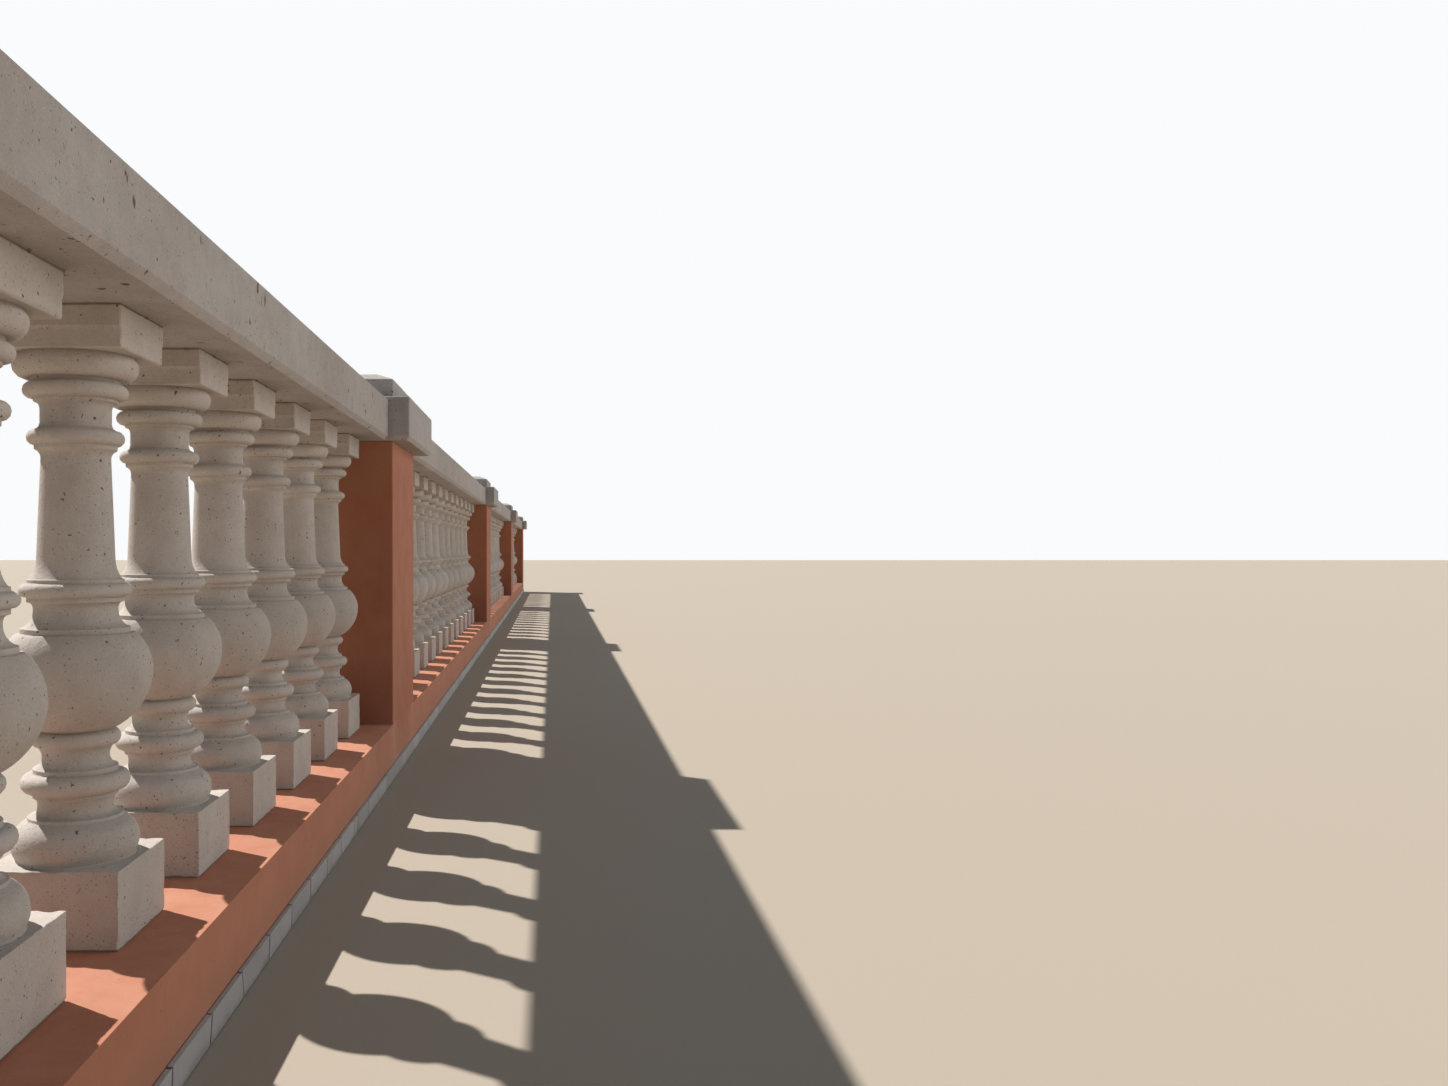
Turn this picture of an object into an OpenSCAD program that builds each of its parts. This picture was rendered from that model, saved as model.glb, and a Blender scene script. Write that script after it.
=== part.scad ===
// Cast-stone terrace balustrade: turned balusters on a rendered kerb, between capped piers.
// X runs along the balustrade, the terrace side faces -Y, Z = 0 is the floor.

/* [Run] */
// Number of whole bays
bays = 4; // [1:1:6]
// Balusters in one bay
balusters = 13; // [5:1:15]
// Distance between baluster centres
pitch = 310; // [250:5:400]
// Gap between a pier and the nearest plinth
end_gap = 80; // [20:5:150]

/* [Kerb and piers] */
// Width of the kerb and the piers across the run
kerb_w = 320; // [240:5:400]
// Height of the kerb above the floor
kerb_h = 140; // [80:5:300]
// Length of a pier along the run
pier_l = 465; // [300:5:700]
// Thickness of a skirting tile
skirting_t = 8; // [5:1:20]
// Height of a skirting tile
skirting_h = 37; // [20:1:75]

/* [Rail] */
// Width of the rail
rail_w = 308; // [220:2:380]
// Height of the rail
rail_h = 105; // [60:1:160]
// Chamfer along the rail's lower edges
rail_chamfer = 10; // [2:1:20]
// Radius of the rail's top edges
rail_round = 6; // [1:1:15]
// Length of the shorter rail stone of a bay
rail_short_l = 1090; // [400:10:1600]
// Mortar joint between two rail stones
rail_joint = 3; // [1:1:8]

/* [Pier caps] */
// Overhang of the cap's lower block beyond the pier
cap_overhang = 50; // [10:1:100]
// Height of the cap's lower block above the rail's top
cap_rise = 10; // [0:1:60]
// Chamfer along the cap's lower edges
cap_chamfer = 10; // [2:1:20]
// Height of the cap's upper block
cap_block_h = 52; // [20:1:120]
// Width of the sloping edge round the cap's top
cap_slope_w = 50; // [10:1:100]
// Rise of the sloping edge
cap_slope_h = 20; // [5:1:60]

/* [Baluster] */
// Height of a baluster from the kerb to the rail
baluster_h = 755; // [700:5:900]
// Width of the square plinth, and of the abacus across the run
plinth_w = 165; // [140:1:200]
// Height of the plinth
plinth_h = 93; // [40:1:140]
// Length of the abacus along the run
abacus_l = 152; // [150:1:190]
// Height of the abacus
abacus_h = 52; // [35:1:90]
// Height of the abacus's lower tier
abacus_tier_h = 20; // [8:1:24]
// Height of the bevel between the abacus's tiers
abacus_bevel_h = 6; // [2:1:8]
// Set-back of the lower tier on the two faces along the run
abacus_set = 4; // [1:1:7]
// Step from a fillet in to the hollow beside it
fillet_step = 3; // [1:1:4]
// Height of the fillets under the base ring and the shaft ring
under_fillet_h = 6; // [2:1:7]

/* [Baluster base] */
// Height of the base roll
base_roll_h = 47; // [36:1:56]
// Diameter of the base roll
base_roll_d = 149; // [142:1:164]
// Diameter of the base roll where it meets the plinth
base_roll_foot_d = 138; // [120:1:142]
// Height of the base roll's fullest point above the plinth
base_roll_crest_h = 19; // [12:1:30]
// Height of the fillet on the base roll
base_fillet_h = 4; // [2:1:8]
// Diameter of that fillet
base_fillet_d = 111; // [100:1:120]
// Height of the neck above the base
base_neck_h = 28; // [20:1:36]
// Diameter of that neck
base_neck_d = 88; // [60:1:92]
// Height of the base ring
base_ring_h = 24; // [16:1:30]
// Diameter of the base ring
base_ring_d = 127; // [110:1:140]
// Height of the fillet above the base ring
ring_fillet_h = 6; // [2:1:10]
// Diameter of the fillets beside the base ring
ring_fillet_d = 99; // [94:1:104]

/* [Baluster belly] */
// Height of the hollow under the belly
hollow_h = 25; // [18:1:34]
// Diameter of that hollow
hollow_d = 78; // [60:1:84]
// Height of the small ring under the belly
small_ring_h = 20; // [14:1:26]
// Diameter of the small ring
small_ring_d = 105; // [94:1:120]
// Height of the belly
belly_h = 118; // [106:1:132]
// Largest diameter of the belly
belly_d = 180; // [160:1:200]
// Height of the belly's fullest point above its foot
belly_crest_h = 71; // [58:1:80]
// Diameter of the belly's foot
belly_foot_d = 88; // [86:1:92]
// Diameter of the belly's shoulder
belly_shoulder_d = 138; // [130:1:144]
// Height of the fillet on the belly
belly_fillet_h = 7; // [3:1:10]
// Diameter of that fillet
belly_fillet_d = 128; // [120:1:130]

/* [Baluster shaft] */
// Height of the neck above the belly
neck_h = 37; // [37:1:46]
// Height of the curve at the neck's foot
neck_curve_h = 20; // [16:1:22]
// Height of the curve at the neck's top
neck_top_h = 7; // [5:1:8]
// Diameter of that neck
neck_d = 98; // [80:1:106]
// Height of the shaft ring
shaft_ring_h = 17; // [12:1:26]
// Diameter of the shaft ring
shaft_ring_d = 132; // [120:1:144]
// Diameter of the fillets beside the shaft ring
shaft_ring_fillet_d = 113; // [106:1:118]
// Height of the fillet above the shaft ring
shaft_fillet_h = 5; // [3:1:10]
// Height over which the shaft flares out to the fillet
flare_h = 25; // [18:1:40]
// Diameter of the shaft above the flare
shaft_low_d = 91; // [80:1:100]
// Diameter of the shaft under the necking
shaft_top_d = 81; // [70:1:86]
// Height of the curve under the necking fillet
shaft_curve_h = 10; // [6:1:16]

/* [Baluster capital] */
// Height of the fillet under the necking ring
necking_fillet_h = 5; // [3:1:8]
// Diameter of that fillet
necking_fillet_d = 96; // [90:1:102]
// Height of the necking ring
necking_ring_h = 19; // [12:1:24]
// Diameter of the necking ring
necking_ring_d = 114; // [106:1:126]
// Height of the collar between the necking ring and the upper ring
collar_h = 38; // [30:1:46]
// Diameter of the collar
collar_d = 83; // [70:1:86]
// Height of the curves at the collar's two ends
collar_curve_h = 8; // [5:1:12]
// Height of the fillet under the upper ring
collar_fillet_h = 4; // [2:1:6]
// Height of the upper ring
upper_ring_h = 19; // [14:1:24]
// Diameter of the upper ring
upper_ring_d = 123; // [112:1:136]
// Height of the fillet above the upper ring
echinus_fillet_h = 5; // [2:1:8]
// Diameter of that fillet
echinus_fillet_d = 104; // [98:1:110]
// Height of the echinus under the abacus
echinus_h = 28; // [20:1:34]
// Diameter of the echinus
echinus_d = 147; // [138:1:154]
// Diameter of the echinus where it meets the abacus
echinus_top_d = 136; // [126:1:138]
// Height of the echinus's fullest point above its foot
echinus_crest_h = 16; // [12:1:18]

/* [Hidden] */
$fn = 48;
bay_clear = (balusters - 1) * pitch + plinth_w + 2 * end_gap;
module_l = bay_clear + pier_l;
run_l = bays * module_l + pier_l;
rail_z = kerb_h + baluster_h;
rail_top = rail_z + rail_h;
// Steps in the arcs of small mouldings and of the belly
arc_steps = 4;
belly_steps = 8;
// Angle between the points of the rail's rounded edges
round_step = 30;
// Depth to which the turned body runs into its plinth and abacus
bed = 5;

STONE = [0.72, 0.67, 0.60];
CAP_STONE = [0.62, 0.60, 0.56];
RENDER = [0.72, 0.42, 0.31];
TILE = [0.70, 0.69, 0.65];

// Centre of pier i, and the near end of bay i, along the run
function pier_x(i) = (i - 1) * module_l + (pier_l - run_l) / 2;
function bay_x(i) = pier_x(i) + pier_l / 2;

// Arc from the corner [r0, z0] to the turning point [r1, z1], upright where it ends
function arc(r0, z0, r1, z1, steps) =
    let (
        r = ((r1 - r0) * (r1 - r0) + (z1 - z0) * (z1 - z0)) / (2 * (r1 - r0)),
        centre = r1 - r,
        start = atan2((z0 - z1) / abs(r), (r0 - centre) / r)
    )
    [for (t = [0:steps]) [centre + r * cos(start * (1 - t / steps)), z1 + abs(r) * sin(start * (1 - t / steps))]];

// The same arc, run from its turning point to the corner
function arc_back(r0, z0, r1, z1, steps) =
    let (points = arc(r0, z0, r1, z1, steps)) [for (t = [1:steps]) points[steps - t]];

// Crest or hollow: two arcs that meet upright at [rc, zc]
function swell(r0, z0, rc, zc, r1, z1, steps = arc_steps) =
    concat(arc(r0, z0, rc, zc, steps), arc_back(r1, z1, rc, zc, steps));

// Heights of the mouldings, from the kerb upward
z_base_fillet = plinth_h + base_roll_h;
z_base_neck = z_base_fillet + base_fillet_h;
z_base_ring = z_base_neck + base_neck_h;
z_ring_fillet = z_base_ring + base_ring_h;
z_hollow = z_ring_fillet + ring_fillet_h;
z_small_ring = z_hollow + hollow_h;
z_belly = z_small_ring + small_ring_h;
z_belly_fillet = z_belly + belly_h;
z_neck = z_belly_fillet + belly_fillet_h;
z_shaft_ring = z_neck + neck_h;
z_under_fillet = z_shaft_ring - under_fillet_h;
z_shaft_fillet = z_shaft_ring + shaft_ring_h;
z_flare = z_shaft_fillet + shaft_fillet_h;
// And from the rail downward
z_abacus = baluster_h - abacus_h;
z_echinus = z_abacus - echinus_h;
z_echinus_fillet = z_echinus - echinus_fillet_h;
z_upper_ring = z_echinus_fillet - upper_ring_h;
z_collar_fillet = z_upper_ring - collar_fillet_h;
z_collar = z_upper_ring - collar_h;
z_necking_ring = z_collar - necking_ring_h;
z_necking_fillet = z_necking_ring - necking_fillet_h;
z_shaft_curve = z_necking_fillet - shaft_curve_h;

// Outline of the turned body, as [radius, height]
function base_outline() = concat(
    swell(base_roll_foot_d / 2, plinth_h, base_roll_d / 2, plinth_h + base_roll_crest_h,
        base_fillet_d / 2, z_base_fillet),
    [[base_fillet_d / 2, z_base_neck]],
    swell(base_fillet_d / 2 - fillet_step, z_base_neck, base_neck_d / 2,
        z_base_neck + (base_neck_h - under_fillet_h) / 2,
        ring_fillet_d / 2 - fillet_step, z_base_ring - under_fillet_h),
    [[ring_fillet_d / 2, z_base_ring - under_fillet_h]],
    swell(ring_fillet_d / 2, z_base_ring, base_ring_d / 2, z_base_ring + base_ring_h / 2,
        ring_fillet_d / 2, z_ring_fillet),
    [[ring_fillet_d / 2, z_hollow]]
);
function belly_outline() = concat(
    swell(ring_fillet_d / 2 - fillet_step, z_hollow, hollow_d / 2, z_hollow + hollow_h / 2,
        belly_foot_d / 2, z_small_ring),
    swell(belly_foot_d / 2, z_small_ring, small_ring_d / 2, z_small_ring + small_ring_h / 2,
        belly_foot_d / 2, z_belly),
    swell(belly_foot_d / 2, z_belly, belly_d / 2, z_belly + belly_crest_h,
        belly_shoulder_d / 2, z_belly_fillet, belly_steps),
    [[belly_fillet_d / 2, z_belly_fillet], [belly_fillet_d / 2, z_neck]]
);
function shaft_outline() = concat(
    arc(belly_fillet_d / 2 - fillet_step, z_neck, neck_d / 2, z_neck + neck_curve_h, arc_steps),
    [[neck_d / 2, z_under_fillet - neck_top_h]],
    arc_back(shaft_ring_fillet_d / 2 - fillet_step, z_under_fillet, neck_d / 2, z_under_fillet - neck_top_h,
        arc_steps),
    [[shaft_ring_fillet_d / 2, z_under_fillet]],
    swell(shaft_ring_fillet_d / 2, z_shaft_ring, shaft_ring_d / 2, z_shaft_ring + shaft_ring_h / 2,
        shaft_ring_fillet_d / 2, z_shaft_fillet),
    [[shaft_ring_fillet_d / 2, z_flare]],
    arc(shaft_ring_fillet_d / 2 - fillet_step, z_flare, shaft_low_d / 2, z_flare + flare_h, arc_steps),
    arc_back(necking_fillet_d / 2, z_necking_fillet, shaft_top_d / 2, z_shaft_curve, arc_steps)
);
function capital_outline() = concat(
    swell(necking_fillet_d / 2, z_necking_ring, necking_ring_d / 2, z_necking_ring + necking_ring_h / 2,
        necking_fillet_d / 2, z_collar),
    arc(necking_fillet_d / 2, z_collar, collar_d / 2, z_collar + collar_curve_h, arc_steps),
    arc_back(echinus_fillet_d / 2 - 2 * fillet_step, z_collar_fillet, collar_d / 2,
        z_collar_fillet - collar_curve_h, arc_steps),
    [for (z = [z_collar_fillet, z_upper_ring]) [echinus_fillet_d / 2 - fillet_step, z]],
    swell(echinus_fillet_d / 2, z_upper_ring, upper_ring_d / 2, z_upper_ring + upper_ring_h / 2,
        echinus_fillet_d / 2, z_echinus_fillet),
    swell(echinus_fillet_d / 2, z_echinus, echinus_d / 2, z_echinus + echinus_crest_h,
        echinus_top_d / 2, z_abacus)
);

module abacus() {
    lower_l = abacus_l - 2 * abacus_set;
    bevel_top = abacus_tier_h + abacus_bevel_h;
    translate([0, plinth_w / 2, z_abacus])
        rotate([90, 0, 0])
            linear_extrude(plinth_w)
                polygon([
                    [-lower_l / 2, 0], [lower_l / 2, 0], [lower_l / 2, abacus_tier_h],
                    [abacus_l / 2, bevel_top], [abacus_l / 2, abacus_h],
                    [-abacus_l / 2, abacus_h], [-abacus_l / 2, bevel_top], [-lower_l / 2, abacus_tier_h]
                ]);
}

module baluster() {
    translate([-plinth_w / 2, -plinth_w / 2, 0])
        cube([plinth_w, plinth_w, plinth_h]);
    rotate_extrude()
        polygon(concat(
            [[0, plinth_h - bed], [base_roll_foot_d / 2, plinth_h - bed]],
            base_outline(), belly_outline(), shaft_outline(), capital_outline(),
            [[echinus_top_d / 2, z_abacus + bed], [0, z_abacus + bed]]
        ));
    abacus();
}

module balusters_of(i) {
    first = bay_x(i) + end_gap + plinth_w / 2;
    color(STONE)
        for (n = [0:balusters - 1])
            translate([first + n * pitch, 0, kerb_h])
                baluster();
}

module kerb(i) {
    color(RENDER)
        translate([bay_x(i), -kerb_w / 2, 0])
            cube([bay_clear, kerb_w, kerb_h]);
}

module skirting(i) {
    near = i == 1 ? -run_l / 2 : pier_x(i);
    far = i == bays ? run_l / 2 : pier_x(i + 1);
    color(TILE)
        translate([near, -kerb_w / 2 - skirting_t, 0])
            cube([far - near, skirting_t, skirting_h]);
}

module pier(i) {
    color(RENDER)
        translate([pier_x(i) - pier_l / 2, -kerb_w / 2, 0])
            cube([pier_l, kerb_w, rail_z]);
}

// Section of the cap, w wide over all, seen along either of its two plan directions
module cap_section(w) {
    upper = w / 2 - cap_overhang;
    block_z = rail_h + cap_rise;
    slope_z = block_z + cap_block_h;
    polygon([
        [-w / 2 + cap_chamfer, 0], [w / 2 - cap_chamfer, 0], [w / 2, cap_chamfer], [w / 2, block_z],
        [upper, block_z], [upper, slope_z], [upper - cap_slope_w, slope_z + cap_slope_h],
        [-upper + cap_slope_w, slope_z + cap_slope_h], [-upper, slope_z], [-upper, block_z],
        [-w / 2, block_z], [-w / 2, cap_chamfer]
    ]);
}

module pier_cap(i) {
    cap_l = pier_l + 2 * cap_overhang;
    cap_w = kerb_w + 2 * cap_overhang;
    color(CAP_STONE)
        translate([pier_x(i), 0, rail_z])
            intersection() {
                translate([0, cap_w / 2, 0])
                    rotate([90, 0, 0])
                        linear_extrude(cap_w)
                            cap_section(cap_l);
                translate([-cap_l / 2, 0, 0])
                    rotate([90, 0, 90])
                        linear_extrude(cap_l)
                            cap_section(cap_w);
            }
}

// A rail stone from x0 to x1: chamfered below, rounded above
module rail_stone(x0, x1) {
    corner = rail_w / 2 - rail_round;
    round_z = rail_h - rail_round;
    color(STONE)
        translate([x0, 0, rail_z])
            rotate([90, 0, 90])
                linear_extrude(x1 - x0)
                    polygon(concat(
                        [[-rail_w / 2, rail_chamfer], [-rail_w / 2 + rail_chamfer, 0],
                            [rail_w / 2 - rail_chamfer, 0], [rail_w / 2, rail_chamfer]],
                        [for (a = [0:round_step:90]) [corner + rail_round * cos(a), round_z + rail_round * sin(a)]],
                        [for (a = [90:-round_step:0]) [-corner - rail_round * cos(a), round_z + rail_round * sin(a)]]
                    ));
}

// The caps overhang the bay, and the rail is cut to fit between them.
// The short stone lies at the bay's near end in odd bays and at its far end in even ones.
module rail_long(i) {
    near = bay_x(i) + cap_overhang;
    far = bay_x(i) + bay_clear - cap_overhang;
    if (i % 2 == 1)
        rail_stone(near + rail_short_l + rail_joint, far);
    else
        rail_stone(near, far - rail_short_l - rail_joint);
}

module rail_short(i) {
    near = bay_x(i) + cap_overhang;
    far = bay_x(i) + bay_clear - cap_overhang;
    if (i % 2 == 1)
        rail_stone(near, near + rail_short_l);
    else
        rail_stone(far - rail_short_l, far);
}

for (i = [1:bays]) {
    kerb(i);
    skirting(i);
    balusters_of(i);
    rail_long(i);
    rail_short(i);
}
for (i = [1:bays + 1]) {
    pier(i);
    pier_cap(i);
}
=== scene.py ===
import math
import random

import bmesh
import bpy
from mathutils import Matrix, Vector, noise


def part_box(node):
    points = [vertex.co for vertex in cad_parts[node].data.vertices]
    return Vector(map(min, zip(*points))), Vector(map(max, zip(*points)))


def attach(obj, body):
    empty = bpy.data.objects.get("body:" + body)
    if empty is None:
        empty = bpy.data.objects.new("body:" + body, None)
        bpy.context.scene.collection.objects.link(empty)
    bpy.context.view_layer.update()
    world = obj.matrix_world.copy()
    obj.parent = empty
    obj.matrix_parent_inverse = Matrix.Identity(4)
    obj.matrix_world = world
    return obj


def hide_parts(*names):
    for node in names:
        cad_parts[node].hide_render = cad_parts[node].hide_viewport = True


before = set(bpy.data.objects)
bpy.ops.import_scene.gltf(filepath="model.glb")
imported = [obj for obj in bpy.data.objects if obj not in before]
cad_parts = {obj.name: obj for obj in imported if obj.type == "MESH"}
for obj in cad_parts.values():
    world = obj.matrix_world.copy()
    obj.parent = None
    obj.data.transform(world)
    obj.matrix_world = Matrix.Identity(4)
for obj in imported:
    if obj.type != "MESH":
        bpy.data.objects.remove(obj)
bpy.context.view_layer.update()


# Kerb: a low wall of block masonry under one coat of smooth render, painted terracotta, one length a bay.
# The render was struck off by hand, so its top arrises are soft and the faces wander by a millimetre.
# Splashed dirt greys its foot, dust lies on its flat top, and a hair of shadow parts it from the piers.
BAYS = 4
KERB_STEP = 0.09
KERB_STEP_ACROSS = 0.08
KERB_ARRIS = 0.004
KERB_END_ARRIS = 0.0008
RENDER_WANDER = 0.0011
RENDER_LUMP = 0.34
ARRIS_CHIP = 0.0016
KERB_CHIP_L = 0.05
KERB_HEART_Z = 0.07
TERRACOTTA = (167, 101, 71)
TERRACOTTA_PALE = (177, 113, 83)
TERRACOTTA_DEEP = (152, 88, 60)
TERRACOTTA_DIRT = (112, 84, 68)
TERRACOTTA_DUST = (196, 158, 134)
TERRACOTTA_SPECK = (86, 58, 46)
TERRACOTTA_CRACK = (96, 62, 48)
TERRACOTTA_RUBBED = (214, 160, 132)
ON_FACE = 0.001
MERGE = 0.00002


def colour(rgb):
    """A painter's red, green and blue, each 0 to 255, as Blender's linear colour."""
    shares = [part / 255 for part in rgb]
    return [s / 12.92 if s <= 0.04045 else ((s + 0.055) / 1.055) ** 2.4 for s in shares] + [1.0]


def start_finish(name):
    """A new material: the material, its tree, its shader and the piece's own coordinates in metres."""
    finish = bpy.data.materials.new(name)
    finish.use_nodes = True
    tree = finish.node_tree
    place = tree.nodes.new("ShaderNodeTexCoord").outputs["Object"]
    return finish, tree, tree.nodes["Principled BSDF"], place


def put(tree, kind, inputs, **settings):
    """Adds a node; an input that is another node's output is linked, and any other is set."""
    node = tree.nodes.new("ShaderNode" + kind)
    for key, value in settings.items():
        setattr(node, key, value)
    for key, value in inputs.items():
        if isinstance(value, bpy.types.NodeSocket):
            tree.links.new(value, node.inputs[key])
        else:
            node.inputs[key].default_value = value
    return node


def stretch(tree, place, scale):
    """The coordinates, drawn out or squeezed along each axis."""
    return put(tree, "Mapping", {"Vector": place, "Scale": scale}).outputs["Vector"]


def cloud(tree, place, size, detail=3.0, rough=0.5):
    """Soft patches about size metres across, from 0 to 1 around a half."""
    settings = {"Vector": place, "Scale": 1 / size, "Detail": detail, "Roughness": rough}
    return put(tree, "TexNoise", settings).outputs["Fac"]


def span(tree, value, low, high, to_low=0.0, to_high=1.0):
    """Takes the stretch low..high of a value to to_low..to_high, and holds it there beyond."""
    settings = {"Value": value, "From Min": low, "From Max": high, "To Min": to_low, "To Max": to_high}
    return put(tree, "MapRange", settings).outputs["Result"]


def sums(tree, operation, first, second):
    """One plain sum on two values."""
    return put(tree, "Math", {0: first, 1: second}, operation=operation).outputs[0]


def blend(tree, amount, under, over, kind="MIX"):
    """Lays one colour over another by an amount."""
    settings = {0: amount, 6: under, 7: over}
    return put(tree, "Mix", settings, data_type="RGBA", blend_type=kind).outputs[2]


def holes(tree, place, cell, radius, share=0.6):
    """Uneven pits of mixed sizes, up to a radius, in a share of the cells: 1 inside a pit."""
    ragged = put(tree, "TexNoise", {"Vector": place, "Scale": 0.7 / radius, "Detail": 2.0})
    bent = blend(tree, radius * 3.0, place, ragged.outputs["Color"])
    spots = put(tree, "TexVoronoi", {"Vector": bent, "Scale": 1 / cell})
    own = put(tree, "SeparateColor", {"Color": spots.outputs["Color"]}).outputs["Red"]
    reach = span(tree, own, 1 - share, 1.0, 0.0, radius / cell)
    inside = sums(tree, "SUBTRACT", reach, spots.outputs["Distance"])
    return span(tree, inside, 0.0, radius / cell * 0.3)


def relief(tree, height, depth, strength, under=None):
    """Bump of a height map, depth metres from 0 to 1, over another bump."""
    inputs = {"Height": height, "Distance": depth, "Strength": strength}
    if under is not None:
        inputs["Normal"] = under
    return put(tree, "Bump", inputs).outputs["Normal"]


def painted_render():
    """Terracotta masonry paint on smooth render: mottling, trowel waves, specks, cracks, dust and dirt."""
    finish, tree, shader, place = start_finish("terracotta_paint_on_render")
    broad = cloud(tree, place, 0.55, 4.0, 0.6)
    close = cloud(tree, place, 0.07, 5.0, 0.6)
    sand = cloud(tree, place, 0.0016, 2.0, 0.6)
    paint = blend(tree, span(tree, broad, 0.32, 0.72), colour(TERRACOTTA), colour(TERRACOTTA_PALE))
    paint = blend(tree, span(tree, close, 0.42, 0.75, 0.0, 0.25), paint, colour(TERRACOTTA_DEEP))
    grain = span(tree, sand, 0.3, 0.7, 0.9, 1.08)
    paint = blend(tree, 1.0, paint, grain, "MULTIPLY")
    rain = cloud(tree, stretch(tree, place, (9.0, 9.0, 0.9)), 0.35, 4.0, 0.55)
    paint = blend(tree, span(tree, rain, 0.55, 0.78, 0.0, 0.16), paint, colour(TERRACOTTA_DIRT))
    height = put(tree, "SeparateXYZ", {"Vector": place}).outputs["Z"]
    edge = sums(tree, "ADD", height, span(tree, close, 0.2, 0.8, -0.03, 0.03))
    paint = blend(tree, span(tree, edge, 0.0, 0.085, 0.42, 0.0), paint, colour(TERRACOTTA_DIRT))
    facing = put(tree, "NewGeometry", {})
    upward = put(tree, "SeparateXYZ", {"Vector": facing.outputs["Normal"]}).outputs["Z"]
    dust = cloud(tree, place, 0.045, 6.0, 0.65)
    thickness = span(tree, dust, 0.4, 0.7, 0.04, 0.18)
    settled = sums(tree, "MULTIPLY", span(tree, upward, 0.6, 0.95), thickness)
    paint = blend(tree, settled, paint, colour(TERRACOTTA_DUST))
    specks = holes(tree, place, 0.019, 0.0021)
    paint = blend(tree, sums(tree, "MULTIPLY", specks, 0.7), paint, colour(TERRACOTTA_SPECK))
    bend = put(tree, "TexNoise", {"Vector": place, "Scale": 9.0, "Detail": 4.0})
    bent = blend(tree, 0.12, place, bend.outputs["Color"])
    cracks = put(tree, "TexVoronoi", {"Vector": bent, "Scale": 2.6}, feature="DISTANCE_TO_EDGE")
    thread = span(tree, cracks.outputs["Distance"], 0.0, 0.0018, 1.0, 0.0)
    where = span(tree, cloud(tree, place, 0.8, 1.0), 0.52, 0.6)
    thread = sums(tree, "MULTIPLY", thread, where)
    paint = blend(tree, sums(tree, "MULTIPLY", thread, 0.55), paint, colour(TERRACOTTA_CRACK))
    worn = span(tree, facing.outputs["Pointiness"], 0.52, 0.6, 0.0, 0.35)
    paint = blend(tree, worn, paint, colour(TERRACOTTA_RUBBED))
    tree.links.new(paint, shader.inputs["Base Color"])
    tree.links.new(span(tree, close, 0.3, 0.7, 0.74, 0.9), shader.inputs["Roughness"])
    waves = relief(tree, cloud(tree, place, 0.09, 3.0), 0.0012, 0.5)
    skin = relief(tree, sand, 0.0003, 0.5, waves)
    pricks = relief(tree, sums(tree, "MAXIMUM", specks, thread), 0.0006, -0.8, skin)
    tree.links.new(pricks, shader.inputs["Normal"])
    return finish


def block(low, high):
    """A box from its lowest to its highest corner."""
    mesh = bmesh.new()
    bmesh.ops.create_cube(mesh, size=1.0)
    bmesh.ops.scale(mesh, vec=high - low, verts=mesh.verts)
    bmesh.ops.translate(mesh, vec=(low + high) / 2, verts=mesh.verts)
    return mesh


def edges_along(mesh, axis):
    """The edges that run along an axis."""
    found = []
    for edge in mesh.edges:
        run = edge.verts[0].co - edge.verts[1].co
        if abs(run[axis]) > 0.999 * run.length:
            found.append(edge)
    return found


def lies_at(edge, axis, *places):
    """Whether an edge has both ends at one of some places along an axis, to a millimetre."""
    for place in places:
        if all(abs(vert.co[axis] - place) < ON_FACE for vert in edge.verts):
            return True
    return False


def cut_along(mesh, axis, step):
    """Cuts a plain block into even lengths of about step metres along an axis."""
    edges = edges_along(mesh, axis)
    length = max(edge.calc_length() for edge in edges)
    cuts = max(round(length / step) - 1, 0)
    if cuts:
        bmesh.ops.subdivide_edges(mesh, edges=edges, cuts=cuts, use_grid_fill=True)


def soften(mesh, edges, width, segments):
    """Rounds arrises, and returns the new points along them."""
    made = bmesh.ops.bevel(
        mesh, geom=edges, offset=width, offset_type="OFFSET", segments=segments,
        profile=0.5, affect="EDGES", clamp_overlap=True, material=-1)
    return list({vert for face in made["faces"] for vert in face.verts})


def wander(mesh, depth, lump, low, high, axes=(1, 2)):
    """Draws a block's faces in by up to depth, in soft lumps, as hand-struck work wanders."""
    middle = (low + high) / 2
    half = (high - low) / 2
    for vert in mesh.verts:
        start = vert.co.copy()
        for axis in axes:
            if axis == 2 and start.z < low.z + 0.0005:
                continue
            pull = 0.5 + 0.5 * noise.noise(start / lump + Vector((axis * 7.3, 1.7, 4.1)))
            vert.co[axis] -= depth * pull * (start[axis] - middle[axis]) / half[axis]


def chip(verts, middle, depth, lump, share, along_run=False):
    """Knocks small chips off an arris: each point goes towards the middle where the noise is high."""
    for vert in verts:
        if not vert.is_valid:
            continue
        inward = middle - vert.co
        if along_run:
            inward.x = 0.0
        knock = max(0.0, noise.noise(vert.co / lump) - share) / (1 - share)
        fine = 0.25 * (1 + noise.noise(vert.co / lump * 4.3))
        vert.co += inward.normalized() * depth * (knock + 0.3 * fine)


def as_piece(mesh, name, finish, crease=33):
    """Closes the mesh, points it outwards, keeps its flat faces flat, and makes it an object."""
    bmesh.ops.remove_doubles(mesh, verts=mesh.verts, dist=MERGE)
    bmesh.ops.recalc_face_normals(mesh, faces=mesh.faces)
    for face in mesh.faces:
        face.smooth = True
    for edge in mesh.edges:
        if edge.is_manifold and edge.calc_face_angle() > math.radians(crease):
            edge.smooth = False
    shape = bpy.data.meshes.new(name)
    mesh.to_mesh(shape)
    mesh.free()
    shape.materials.append(finish)
    piece = bpy.data.objects.new(name, shape)
    bpy.context.collection.objects.link(piece)
    flats = piece.modifiers.new("flats_kept_flat", "WEIGHTED_NORMAL")
    flats.keep_sharp = True
    flats.weight = 60
    return piece


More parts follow.
